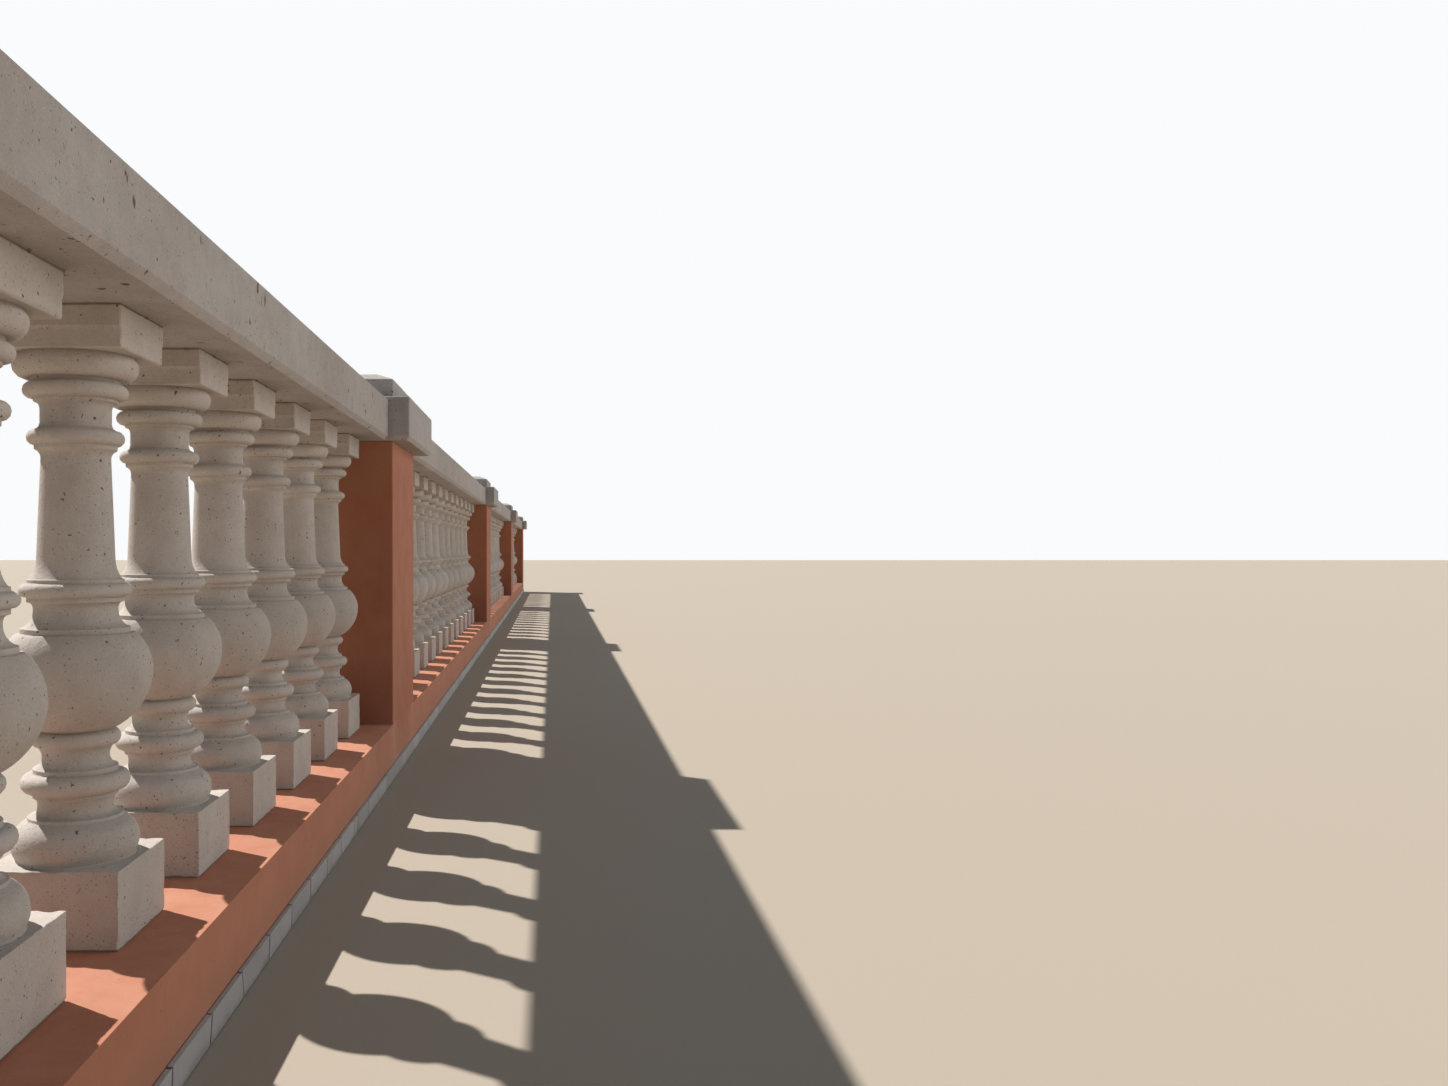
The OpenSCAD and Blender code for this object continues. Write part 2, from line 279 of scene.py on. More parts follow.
terracotta_paint = painted_render()
for bay in range(1, BAYS + 1):
    low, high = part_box(f"kerb_{bay}")
    kerb = block(low, high)
    cut_along(kerb, 0, KERB_STEP)
    ends = [edge for edge in edges_along(kerb, 2) if lies_at(edge, 0, low.x, high.x)]
    soften(kerb, ends, KERB_END_ARRIS, 1)
    tops = [edge for edge in edges_along(kerb, 0) if lies_at(edge, 2, high.z)]
    tops = [edge for edge in tops if lies_at(edge, 1, low.y, high.y)]
    arris = soften(kerb, tops, KERB_ARRIS, 3)
    cut_along(kerb, 1, KERB_STEP_ACROSS)
    wander(kerb, RENDER_WANDER, RENDER_LUMP, low, high)
    heart = Vector((0, 0, KERB_HEART_Z))
    chip(arris, heart, ARRIS_CHIP, KERB_CHIP_L, 0.25, along_run=True)
    piece = as_piece(kerb, f"rendered_kerb_{bay}", terracotta_paint)
    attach(piece, "root")
    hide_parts(f"kerb_{bay}")


# Piers: blockwork piers flush with the kerb, in the same render and paint, standing through the kerb.
# Each has four upright arrises, struck by hand against a batten and slightly rounded by weather. The
# rounding stops at the kerb's top, because below it the faces run on flush.
PIER_ARRIS = 0.004
PIER_STEP = 0.08
PIER_CUTS = 9
PIER_CHIP_L = 0.045
ARRIS_STOP = 0.001
CUT_SLACK = 0.0002

for number in range(1, BAYS + 2):
    low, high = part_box(f"pier_{number}")
    kerb_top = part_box("kerb_1")[1].z
    pier = block(low, high)
    for level in (kerb_top + ARRIS_STOP, kerb_top + PIER_ARRIS):
        bmesh.ops.bisect_plane(
            pier, geom=pier.verts[:] + pier.edges[:] + pier.faces[:], dist=MERGE / 2,
            plane_co=(0, 0, level), plane_no=(0, 0, 1))
    uprights = [e for e in edges_along(pier, 2) if max(vert.co.z for vert in e.verts) > high.z - ON_FACE]
    bmesh.ops.subdivide_edges(pier, edges=uprights, cuts=PIER_CUTS, use_grid_fill=True)
    rounded = kerb_top + PIER_ARRIS - CUT_SLACK
    uprights = [e for e in edges_along(pier, 2) if min(vert.co.z for vert in e.verts) > rounded]
    arris = soften(pier, uprights, PIER_ARRIS, 3)
    cut_along(pier, 0, PIER_STEP)
    wander(pier, RENDER_WANDER, RENDER_LUMP, low, high, axes=(0, 1))
    middle = (low + high) / 2
    for vert in arris:
        if vert.is_valid:
            chip([vert], Vector((middle.x, 0, vert.co.z)), ARRIS_CHIP, PIER_CHIP_L, 0.3)
    for edge in pier.edges:
        if all(abs(vert.co.z - kerb_top - ARRIS_STOP) < CUT_SLACK for vert in edge.verts):
            edge.smooth = False
    piece = as_piece(pier, f"rendered_pier_{number}", terracotta_paint)
    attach(piece, "root")
    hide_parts(f"pier_{number}")


# Skirting: pale stoneware tiles, a hand's breadth and a half long, bedded in cement at the kerb's foot.
# Here and there a cut tile fills out the row. The joints are raked out and have gone dark.
TILE_L = 0.150
TILE_CUT_L = 0.047
TILE_JOINT = 0.0048
TILE_ARRIS = 0.0008
TILE_RAKE = 0.0026
TILE_SLANT = 0.009
TILE_TILT = 0.12
TILE_PROUD = 0.0005
TILE_DROP = 0.0004
TILE_FOOT = 0.0012
TILE_BACK = 0.0004
TILE_SHORTEST = 0.035
GROUT_END = 0.0005
GROUT_BACK = 0.0002
GROUT_TOP = 0.0012
GROUT_STEP = 0.05
GROUT_WANDER = 0.0007
GROUT_LUMP = 0.02
TILE_TONE = (168, 164, 160)
TILE_TONE_PALE = (190, 186, 182)
TILE_TONE_DEEP = (144, 139, 134)
TILE_DOT = (104, 100, 92)
TILE_DIRT = (102, 97, 88)
GROUT_TONE = (54, 49, 44)


def stoneware():
    """Unglazed pale stoneware: each tile its own tone, with fine speckle, small dots and a dirty foot."""
    finish, tree, shader, place = start_finish("pale_stoneware_tile")
    facing = put(tree, "NewGeometry", {})
    own = facing.outputs["Random Per Island"]
    tone = blend(tree, span(tree, own, 0.0, 1.0), colour(TILE_TONE_DEEP), colour(TILE_TONE_PALE))
    tone = blend(tree, 0.55, tone, colour(TILE_TONE))
    patch = cloud(tree, place, 0.03, 5.0, 0.6)
    tone = blend(tree, 1.0, tone, span(tree, patch, 0.3, 0.7, 0.9, 1.07), "MULTIPLY")
    speckle = cloud(tree, place, 0.0011, 2.0, 0.7)
    tone = blend(tree, 1.0, tone, span(tree, speckle, 0.3, 0.7, 0.9, 1.09), "MULTIPLY")
    dots = holes(tree, place, 0.007, 0.001)
    tone = blend(tree, sums(tree, "MULTIPLY", dots, 0.5), tone, colour(TILE_DOT))
    height = put(tree, "SeparateXYZ", {"Vector": place}).outputs["Z"]
    edge = sums(tree, "ADD", height, span(tree, patch, 0.2, 0.8, -0.008, 0.008))
    tone = blend(tree, span(tree, edge, 0.0, 0.014, 0.5, 0.0), tone, colour(TILE_DIRT))
    tree.links.new(tone, shader.inputs["Base Color"])
    tree.links.new(span(tree, patch, 0.3, 0.7, 0.45, 0.62), shader.inputs["Roughness"])
    skin = relief(tree, patch, 0.0006, 0.4)
    tree.links.new(relief(tree, speckle, 0.0002, 0.4, skin), shader.inputs["Normal"])
    return finish


def mortar(name, tone):
    """Sandy cement mortar: coarse grains, crumbled spots and darker damp patches."""
    finish, tree, shader, place = start_finish(name)
    sand = cloud(tree, place, 0.0014, 3.0, 0.7)
    damp = cloud(tree, place, 0.12, 4.0, 0.6)
    mix = blend(tree, span(tree, damp, 0.35, 0.7, 0.0, 0.45), colour(tone), colour([t * 0.7 for t in tone]))
    mix = blend(tree, 1.0, mix, span(tree, sand, 0.3, 0.7, 0.78, 1.18), "MULTIPLY")
    crumbs = holes(tree, place, 0.0042, 0.0011)
    mix = blend(tree, sums(tree, "MULTIPLY", crumbs, 0.6), mix, colour([t * 0.5 for t in tone]))
    tree.links.new(mix, shader.inputs["Base Color"])
    shader.inputs["Roughness"].default_value = 0.95
    shader.inputs["Specular IOR Level"].default_value = 0.3
    rough = relief(tree, sand, 0.0007, 0.8)
    tree.links.new(relief(tree, crumbs, 0.001, -0.8, rough), shader.inputs["Normal"])
    return finish


def add_block(mesh, low, high, arris, segments=1):
    """Adds a small block with rounded arrises to a mesh, and returns its points."""
    made = bmesh.ops.create_cube(mesh, size=1.0)["verts"]
    bmesh.ops.scale(mesh, vec=high - low, verts=made)
    bmesh.ops.translate(mesh, vec=(low + high) / 2, verts=made)
    edges = list({edge for vert in made for edge in vert.link_edges})
    rounded = soften(mesh, edges, arris, segments)
    return list({vert for point in rounded for face in point.link_faces for vert in face.verts})


tile_finish = stoneware()
grout_finish = mortar("dark_tile_grout", GROUT_TONE)
lay = random.Random(31)
for bay in range(1, BAYS + 1):
    low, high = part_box(f"skirting_{bay}")
    tiles = bmesh.new()
    at = low.x
    since_cut = lay.randint(2, 5)
    near_slant = 0.0
    while at < high.x - ON_FACE:
        length = TILE_CUT_L if since_cut == 0 else TILE_L
        since_cut = lay.randint(7, 12) if since_cut == 0 else since_cut - 1
        far_slant = lay.uniform(-TILE_SLANT, TILE_SLANT)
        if high.x - (at + length) < TILE_SHORTEST:
            length = high.x - at
            far_slant = 0.0
        proud = lay.uniform(0.0, TILE_PROUD)
        drop = lay.uniform(0.0, TILE_DROP)
        corner_low = Vector((at + TILE_JOINT / 2, low.y + proud, low.z + TILE_FOOT))
        corner_high = Vector((at + length - TILE_JOINT / 2, high.y - TILE_BACK, high.z - drop))
        made = add_block(tiles, corner_low, corner_high, TILE_ARRIS, 2)
        tilt = Matrix.Rotation(math.radians(lay.uniform(-TILE_TILT, TILE_TILT)), 3, "Y")
        bmesh.ops.rotate(tiles, verts=made, cent=(corner_low + corner_high) / 2, matrix=tilt)
        for vert in made:
            slant = near_slant if vert.co.x < at + length / 2 else far_slant
            vert.co.x += slant * (vert.co.z / high.z - 0.5)
        near_slant = far_slant
        at += length
    for vert in tiles.verts:
        vert.co.z = min(max(vert.co.z, low.z), high.z)
    piece = as_piece(tiles, f"skirting_tiles_{bay}", tile_finish)
    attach(piece, "root")
    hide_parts(f"skirting_{bay}")
    grout_low = Vector((low.x + GROUT_END, low.y + TILE_RAKE, low.z))
    grout_high = Vector((high.x - GROUT_END, high.y - GROUT_BACK, high.z - GROUT_TOP))
    grout = block(grout_low, grout_high)
    cut_along(grout, 0, GROUT_STEP)
    wander(grout, GROUT_WANDER, GROUT_LUMP, low, high)
    piece = as_piece(grout, f"skirting_grout_{bay}", grout_finish)
    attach(piece, "root")


# Balusters: turned shapes cast in reconstituted stone, thirteen a bay, each one piece with its square plinth
# and its two-stepped square abacus. The mould leaves air holes, and the skin was washed back to the sand.
# Each one is bedded on the kerb and under the rail in a millimetre or two of mortar, not quite square.
BALUSTERS = 13
PLINTH_W = 0.165
PLINTH_H = 0.093
ABACUS_L = 0.152
ABACUS_H = 0.052
ABACUS_TIER_H = 0.020
ABACUS_BEVEL_H = 0.006
ABACUS_SET = 0.004
BED = 0.0012
BED_SUNK = 0.0010
BED_ARRIS = 0.0006
BED_RAKE = 0.0018
SOFFIT_BED_RAKE = 0.0006
CRUMBS = (4, 9)
CRUMB_SIZES = (0.0009, 0.0026)
CRUMB_OUT = 0.001
CRUMB_LUMP = 0.002
BLOCK_ARRIS = 0.0016
CHIP_STEP = 0.0075
CHIP_L = 0.010
PLINTH_CHIP = 0.0055
ABACUS_CHIP = 0.0045
MOULD_LUMP = 0.03
MOULD_WANDER = 0.00018
MOULD_SEED = 31
TURNED_ARRIS = 0.0009
TURNED_STEPS = 36
TWIST = 0.35
BALUSTER_TONE = (186, 175, 165)
BALUSTER_PALE = (199, 189, 180)
BALUSTER_DEEP = (165, 152, 141)
STONE_HOLE = (78, 66, 54)
STONE_PIN_HOLE = (112, 99, 86)
STONE_DARK_GRAIN = (112, 102, 94)
STONE_BRIGHT_GRAIN = (222, 216, 208)
STONE_STREAK = (128, 117, 106)
STONE_LICHEN = (142, 136, 126)
# Painted shade and dirt, laid into the stone's hollows:
STONE_HOLLOW_SHADE_AND_DIRT = (122, 106, 90)
STONE_RUBBED = (214, 206, 193)
MORTAR_TONE = (148, 135, 120)


def cast_stone(name, tone, pale, deep, streaks, greying, hollow_shade_and_dirt, blow_cell, blow_size):
    """Cast stone washed back to its sand: mottled body, bright and dark grains, three sizes of air hole,
    dirt and painted shade in the hollows, rubbed arrises, rain streaks and grey tops."""
    finish, tree, shader, place = start_finish(name)
    broad = cloud(tree, place, 0.42, 3.0, 0.55)
    close = cloud(tree, place, 0.035, 5.0, 0.62)
    sand = cloud(tree, place, 0.0019, 2.0, 0.65)
    body = blend(tree, span(tree, broad, 0.34, 0.68), colour(tone), colour(pale))
    body = blend(tree, span(tree, close, 0.4, 0.78, 0.0, 0.4), body, colour(deep))
    body = blend(tree, 1.0, body, span(tree, sand, 0.28, 0.72, 0.94, 1.05), "MULTIPLY")
    grains = put(tree, "TexVoronoi", {"Vector": place, "Scale": 1 / 0.0016})
    grain = put(tree, "SeparateColor", {"Color": grains.outputs["Color"]}).outputs["Red"]
    body = blend(tree, span(tree, grain, 0.94, 0.97, 0.0, 0.2), body, colour(STONE_DARK_GRAIN))
    body = blend(tree, span(tree, grain, 0.06, 0.03, 0.0, 0.2), body, colour(STONE_BRIGHT_GRAIN))
    facing = put(tree, "NewGeometry", {})
    upward = put(tree, "SeparateXYZ", {"Vector": facing.outputs["Normal"]}).outputs["Z"]
    rain = cloud(tree, stretch(tree, place, (1.0, 1.0, 0.06)), 0.022, 4.0, 0.6)
    wall = span(tree, sums(tree, "ABSOLUTE", upward, 0.0), 0.2, 0.5, 1.0, 0.0)
    run = sums(tree, "MULTIPLY", span(tree, rain, 0.5, 0.72, 0.0, streaks), wall)
    body = blend(tree, run, body, colour(STONE_STREAK))
    lichen = cloud(tree, place, 0.016, 6.0, 0.7)
    greyed = span(tree, lichen, 0.38, 0.66, 0.12, greying)
    top = sums(tree, "MULTIPLY", span(tree, upward, 0.55, 0.9), greyed)
    body = blend(tree, top, body, colour(STONE_LICHEN))
    point = facing.outputs["Pointiness"]
    # Painted shade and dirt: where pointiness finds a hollow, the stone is darkened.
    body = blend(tree, span(tree, point, 0.49, 0.42, 0.0, hollow_shade_and_dirt), body, colour(STONE_HOLLOW_SHADE_AND_DIRT))
    body = blend(tree, span(tree, point, 0.52, 0.6, 0.0, 0.35), body, colour(STONE_RUBBED))
    pin = holes(tree, place, 0.0042, 0.0012)
    air = holes(tree, place, 0.0085, 0.0021)
    blow = holes(tree, stretch(tree, place, (1.0, 1.0, 0.65)), blow_cell, blow_size, 0.45)
    body = blend(tree, sums(tree, "MULTIPLY", pin, 0.75), body, colour(STONE_PIN_HOLE))
    dark = sums(tree, "MAXIMUM", air, blow)
    body = blend(tree, sums(tree, "MULTIPLY", dark, 0.88), body, colour(STONE_HOLE))
    tree.links.new(body, shader.inputs["Base Color"])
    tree.links.new(span(tree, close, 0.3, 0.7, 0.82, 0.94), shader.inputs["Roughness"])
    shader.inputs["Specular IOR Level"].default_value = 0.35
    lumps = relief(tree, cloud(tree, place, 0.0062, 4.0, 0.62), 0.0014, 0.65)
    skin = relief(tree, sand, 0.0006, 0.75, lumps)
    sunk = sums(tree, "MAXIMUM", dark, sums(tree, "MULTIPLY", pin, 0.5))
    pitted = relief(tree, sunk, 0.0011, -1.0, skin)
    tree.links.new(pitted, shader.inputs["Normal"])
    return finish


def arc(r0, z0, r1, z1, steps):
    """Points on the arc from (r0, z0) that ends upright at (r1, z1)."""
    radius = ((r1 - r0) ** 2 + (z1 - z0) ** 2) / (2 * (r1 - r0))
    turn = math.atan2((z0 - z1) / abs(radius), (r0 - r1 + radius) / radius)
    angles = [turn * (1 - step / steps) for step in range(steps + 1)]
    return [(r1 - radius + radius * math.cos(a), z1 + abs(radius) * math.sin(a)) for a in angles]


def arc_back(r0, z0, r1, z1, steps):
    """Points on the arc that leaves (r1, z1) upright and ends at (r0, z0)."""
    return arc(r0, z0, r1, z1, steps)[-2::-1]


def swell(r0, z0, crest_r, crest_z, r1, z1, steps):
    """A roll, or a hollow, from one edge over its crest to the other edge."""
    return arc(r0, z0, crest_r, crest_z, steps) + arc_back(r1, z1, crest_r, crest_z, steps)


baluster_outline = [(0, 91.5), (71.2, 92.4), (69.9, 93.3)]
baluster_outline += swell(69.2, 94.6, 74.5, 112, 55.5, 140, 4) + [(55.5, 144)]
baluster_outline += swell(52.5, 144, 44, 155, 46.5, 166, 4) + [(49.5, 166)]
baluster_outline += swell(49.5, 172, 63.5, 184, 49.5, 196, 4) + [(49.5, 202)]
baluster_outline += swell(46.5, 202, 39, 214.5, 44, 227, 3)
baluster_outline += swell(44, 227, 52.5, 237, 44, 247, 3)[1:]
baluster_outline += swell(44, 247, 90, 318, 69, 365, 10)[1:] + [(64, 365), (64, 372)]
baluster_outline += arc(61, 372, 49, 392, 4) + [(49, 396)]
baluster_outline += arc_back(53.5, 403, 49, 396, 2) + [(56.5, 403)]
baluster_outline += swell(56.5, 409, 66, 417.5, 56.5, 426, 3) + [(56.5, 431)]
baluster_outline += arc(53.5, 431, 45.5, 456, 4) + [(43.0, 520)]
baluster_outline += [(40.5, 579)] + arc_back(48, 589, 40.5, 579, 3)
baluster_outline += swell(48, 594, 57, 603.5, 48, 613, 3) + arc(48, 613, 41.5, 621, 2)[1:]
baluster_outline += [(41.5, 639)] + arc_back(46, 647, 41.5, 639, 2) + [(49, 647), (49, 651)]
baluster_outline += swell(52, 651, 61.5, 660.5, 52, 670, 3)
baluster_outline += swell(52, 675, 73.5, 691, 68, 703, 4) + [(68, 704.5), (0, 704.5)]


def turned_body():
    """The round part of a baluster: its outline, sharp corners eased, spun once about the upright axis."""
    body = bmesh.new()
    line = [body.verts.new((radius / 1000, 0, height / 1000)) for radius, height in baluster_outline]
    edges = [body.edges.new(pair) for pair in zip(line, line[1:])]
    corners = []
    for before, vert, after in zip(line[1:], line[2:], line[3:]):
        if (vert.co - before.co).angle(after.co - vert.co) > math.radians(34):
            corners.append(vert)
    bmesh.ops.bevel(
        body, geom=corners, offset=TURNED_ARRIS, offset_type="OFFSET", segments=1,
        profile=0.5, affect="VERTICES", clamp_overlap=True, material=-1)
    bmesh.ops.spin(
        body, geom=body.verts[:] + body.edges[:], cent=(0, 0, 0), axis=(0, 0, 1),
        angle=2 * math.pi, steps=TURNED_STEPS, use_merge=True)
    bmesh.ops.remove_doubles(body, verts=body.verts, dist=MERGE)
    shape = bpy.data.meshes.new("turned_body")
    body.to_mesh(shape)
    body.free()
    return shape


def divide_arrises(mesh, step):
    """Sets points along every edge of a plain block, about step metres apart, and leaves its faces whole."""
    for edge in mesh.edges[:]:
        cuts = round(edge.calc_length() / step) - 1
        if cuts > 0:
            bmesh.ops.bisect_edges(mesh, edges=[edge], cuts=cuts)


def join_in(mesh, part):
    """Moves a finished part into a larger mesh."""
    shape = bpy.data.meshes.new("part")
    part.to_mesh(shape)
    part.free()
    mesh.from_mesh(shape)
    bpy.data.meshes.remove(shape)


def plinth_block(mesh, low, high):
    """Adds a plinth: a cast block with its arrises cut fine, rounded and chipped."""
    part = block(low, high)
    divide_arrises(part, CHIP_STEP)
    arrises = soften(part, part.edges[:], BLOCK_ARRIS, 2)
    chip(arrises, (low + high) / 2, PLINTH_CHIP, CHIP_L, 0.22)
    join_in(mesh, part)


def abacus_block(mesh, at, foot, top):
    """Adds an abacus: a lower tier, and an upper one that steps out over a bevel on two sides."""
    low = Vector((at.x - ABACUS_L / 2 + ABACUS_SET, at.y - PLINTH_W / 2, foot))
    high = Vector((at.x + ABACUS_L / 2 - ABACUS_SET, at.y + PLINTH_W / 2, foot + ABACUS_TIER_H))
    part = block(low, high)
    lid = [face for face in part.faces if face.normal.z > 0.9]
    for level in (foot + ABACUS_TIER_H + ABACUS_BEVEL_H, top):
        made = bmesh.ops.extrude_face_region(part, geom=lid)["geom"]
        bmesh.ops.delete(part, geom=lid, context="FACES_ONLY")
        lid = [item for item in made if isinstance(item, bmesh.types.BMFace)]
        for vert in lid[0].verts:
            vert.co.z = level
            vert.co.x = at.x + math.copysign(ABACUS_L / 2, vert.co.x - at.x)
    part.normal_update()
    divide_arrises(part, CHIP_STEP)
    sharp = [edge for edge in part.edges if edge.calc_face_angle() > 1.2]
    arrises = soften(part, sharp, BLOCK_ARRIS, 1)
    chip(arrises, Vector((at.x, at.y, (foot + top) / 2)), ABACUS_CHIP, CHIP_L, 0.25)
    join_in(mesh, part)


def crumb(mesh, at, radius):
    """Adds a crumb of mortar that was pressed out of a joint and left."""
    made = bmesh.ops.create_icosphere(mesh, subdivisions=2, radius=radius)["verts"]
    bmesh.ops.translate(mesh, vec=at, verts=made)
    for vert in made:
        vert.co += noise.noise_vector(vert.co / CRUMB_LUMP) * radius * 0.4


baluster_stone = cast_stone(
    "baluster_cast_stone", BALUSTER_TONE, BALUSTER_PALE, BALUSTER_DEEP,
    streaks=0.08, greying=0.3, hollow_shade_and_dirt=0.5, blow_cell=0.028, blow_size=0.0034)
bed_finish = mortar("baluster_bed_mortar", MORTAR_TONE)
body_shape = turned_body()
noise.seed_set(MOULD_SEED)
for bay in range(1, BAYS + 1):
    low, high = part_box(f"balusters_{bay}")
    pitch = (high.x - low.x - PLINTH_W) / (BALUSTERS - 1)
    stones = bmesh.new()
    beds = bmesh.new()
    for number in range(BALUSTERS):
        foot = Vector((low.x + PLINTH_W / 2 + number * pitch, 0, low.z))
        twist = Matrix.Rotation(math.radians(lay.uniform(-TWIST, TWIST)), 3, "Z")
        count = len(stones.verts)
        stones.from_mesh(body_shape)
        stones.verts.ensure_lookup_table()
        fresh = stones.verts[count:]
        bmesh.ops.translate(stones, vec=foot, verts=fresh)
        half = PLINTH_W / 2
        plinth_block(stones, foot + Vector((-half, -half, BED)), foot + Vector((half, half, PLINTH_H)))
        abacus_block(stones, foot, high.z - ABACUS_H, high.z - BED)
        stones.verts.ensure_lookup_table()
        bmesh.ops.rotate(stones, verts=stones.verts[count:], cent=foot, matrix=twist)
        for vert in stones.verts[count:]:
            vert.co += noise.noise_vector(vert.co / MOULD_LUMP) * MOULD_WANDER
        half -= BED_RAKE
        bed_low = foot + Vector((-half, -half, -BED_SUNK))
        bed_high = foot + Vector((half, half, 2 * BED))
        add_block(beds, bed_low, bed_high, BED_ARRIS)
        across = Vector((ABACUS_L / 2, PLINTH_W / 2, 0))
        across -= Vector((SOFFIT_BED_RAKE, SOFFIT_BED_RAKE, 0))
        roof = Vector((foot.x, 0, high.z))
        bed_low = roof - across - Vector((0, 0, BED + BED_SUNK))
        bed_high = roof + across + Vector((0, 0, BED_SUNK / 2))
        add_block(beds, bed_low, bed_high, BED_ARRIS)
        reach = across + Vector((CRUMB_OUT, CRUMB_OUT, 0))
        for _ in range(lay.randint(*CRUMBS)):
            along = lay.uniform(-1, 1)
            side = lay.choice((-1, 1))
            spot = Vector((along, side, 0)) if lay.random() < 0.5 else Vector((side, along, 0))
            at = roof + Vector((spot.x * reach.x, spot.y * reach.y, -BED))
            crumb(beds, at, lay.uniform(*CRUMB_SIZES))
    for vert in stones.verts:
        vert.co.x = min(max(vert.co.x, low.x), high.x)
        vert.co.y = min(max(vert.co.y, low.y), high.y)
    piece = as_piece(stones, f"turned_balusters_{bay}", baluster_stone)
    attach(piece, "root")
    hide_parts(f"balusters_{bay}")
    piece = as_piece(beds, f"baluster_beds_{bay}", bed_finish)
    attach(piece, "root")
bpy.data.meshes.remove(body_shape)


# Rail: heavy lengths of cast stone, two to a bay, laid in mortar over the abaci and butted together.
# The mould chamfered the lower arrises; the upper ones were rounded and have worn uneven in the weather.
RAIL_STEP = 0.035
RAIL_CHAMFER = 0.010
RAIL_CHAMFER_ARRIS = 0.0009
RAIL_ROUND = 0.0020
RAIL_END_ARRIS = 0.0014
RAIL_TOP_CHIP = 0.0014
RAIL_TOP_CHIP_L = 0.035
RAIL_CHIP = 0.0012
RAIL_CHIP_L = 0.020
RAIL_END_CHIP_L = 0.015
RAIL_BROAD_EDGE = 0.2
RAIL_TALL_EDGE = 0.06
RAIL_RIPPLE = 0.0006
RAIL_RIPPLE_L = 0.25
RAIL_JOINT_DEPTH = 0.003
RAIL_JOINT_ARRIS = 0.007
RAIL_JOINT_RAKE = 0.0035
RAIL_END_GAP = 0.0012
RAIL_TONE = (172, 163, 157)
RAIL_PALE = (185, 177, 172)
RAIL_DEEP = (150, 140, 133)
RAIL_MORTAR_TONE = (138, 128, 115)

rail_stone = cast_stone(
    "rail_cast_stone", RAIL_TONE, RAIL_PALE, RAIL_DEEP,
    streaks=0.07, greying=0.55, hollow_shade_and_dirt=0.3, blow_cell=0.021, blow_size=0.0062)
joint_finish = mortar("rail_joint_mortar", RAIL_MORTAR_TONE)


def rail_length(low, high):
    """One rail stone: chamfered below, rounded above, its arrises worn and chipped."""
    stone = block(low, high)
    cut_along(stone, 0, RAIL_STEP)
    under = [edge for edge in edges_along(stone, 0) if lies_at(edge, 2, low.z)]
    soften(stone, under, RAIL_CHAMFER, 1)
    over = [edge for edge in edges_along(stone, 0) if lies_at(edge, 2, high.z)]
    worn = soften(stone, over, RAIL_ROUND, 4)
    ends = []
    for edge in stone.edges:
        run = edge.verts[0].co.x - edge.verts[1].co.x
        if edge.calc_face_angle(0) > 1.2 and abs(run) < ON_FACE / 10:
            ends.append(edge)
    eased = soften(stone, ends, RAIL_END_ARRIS, 2)
    broad = [e for e in edges_along(stone, 1) if e.calc_length() > RAIL_BROAD_EDGE]
    bmesh.ops.subdivide_edges(stone, edges=broad, cuts=3, use_grid_fill=True)
    tall = [e for e in edges_along(stone, 2) if e.calc_length() > RAIL_TALL_EDGE]
    bmesh.ops.subdivide_edges(stone, edges=tall, cuts=2, use_grid_fill=True)
    chamfers = []
    for edge in stone.edges:
        middle = (edge.verts[0].co + edge.verts[1].co) / 2
        if middle.z < low.z + RAIL_CHAMFER + ON_FACE and 0.6 < edge.calc_face_angle(0) < 1.0:
            chamfers.append(edge)
    lower = soften(stone, chamfers, RAIL_CHAMFER_ARRIS, 1)
    heart = Vector((0, 0, (low.z + high.z) / 2))
    chip(worn, heart, RAIL_TOP_CHIP, RAIL_TOP_CHIP_L, 0.2, along_run=True)
    chip(lower, heart, RAIL_CHIP, RAIL_CHIP_L, 0.25, along_run=True)
    chip(eased, heart, RAIL_CHIP, RAIL_END_CHIP_L, 0.25, along_run=True)
    for vert in stone.verts:
        ripple = noise.noise(vert.co / RAIL_RIPPLE_L)
        vert.co.y -= math.copysign(RAIL_RIPPLE * (0.5 + 0.5 * ripple), vert.co.y)
    return stone


for bay in range(1, BAYS + 1):
    long_low, long_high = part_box(f"rail_{bay}_long")
    short_low, short_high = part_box(f"rail_{bay}_short")
    for kind, low, high in (("long", long_low, long_high), ("short", short_low, short_high)):
        set_in = Vector((RAIL_END_GAP, 0, 0))
        piece = as_piece(rail_length(low + set_in, high - set_in), f"rail_stone_{bay}_{kind}", rail_stone)
        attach(piece, "root")
        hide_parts(f"rail_{bay}_{kind}")
    joints = bmesh.new()
    near, far = min(long_low.x, short_low.x), max(long_high.x, short_high.x)
    butt_near, butt_far = min(long_high.x, short_high.x), max(long_low.x, short_low.x)
    inset = Vector((0, RAIL_JOINT_RAKE, RAIL_JOINT_RAKE))
    depth = RAIL_JOINT_DEPTH
    for start, end in ((near, near + depth), (butt_near - depth, butt_far + depth), (far - depth, far)):
        corner_low = Vector((start, long_low.y, long_low.z)) + inset
        corner_high = Vector((end, long_high.y, long_high.z)) - inset
        add_block(joints, corner_low, corner_high, RAIL_JOINT_ARRIS)
    piece = as_piece(joints, f"rail_joints_{bay}", joint_finish)
    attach(piece, "root")


# Pier caps: one casting over each pier, a wide lower block that the rails butt against, an upper block flush
# with the pier, and a shallow weathered slope to a flat top. It is a greyer mix than the rail, and rain
# has left its faces uneven. It lies on a thin mortar bed over the pier.
CAP_CHAMFER = 0.010
CAP_OVERHANG = 0.050
CAP_BLOCK_TOP = 1.010
CAP_SLOPE_FOOT = 1.062
CAP_SLOPE_IN = 0.050
CAP_LAP = 0.004
CAP_ARRIS = 0.0038
CAP_CUTS = 7
CAP_CHIP = 0.0018
CAP_CHIP_L = 0.022
CAP_LOWER_HEART_Z = 0.955
CAP_UPPER_HEART_Z = 1.02
CAP_RIPPLE = 0.0008
CAP_RIPPLE_L = 0.11
CAP_TONE = (173, 165, 159)
CAP_PALE = (185, 178, 173)
CAP_DEEP = (148, 140, 134)
CAP_MORTAR_TONE = (132, 122, 108)

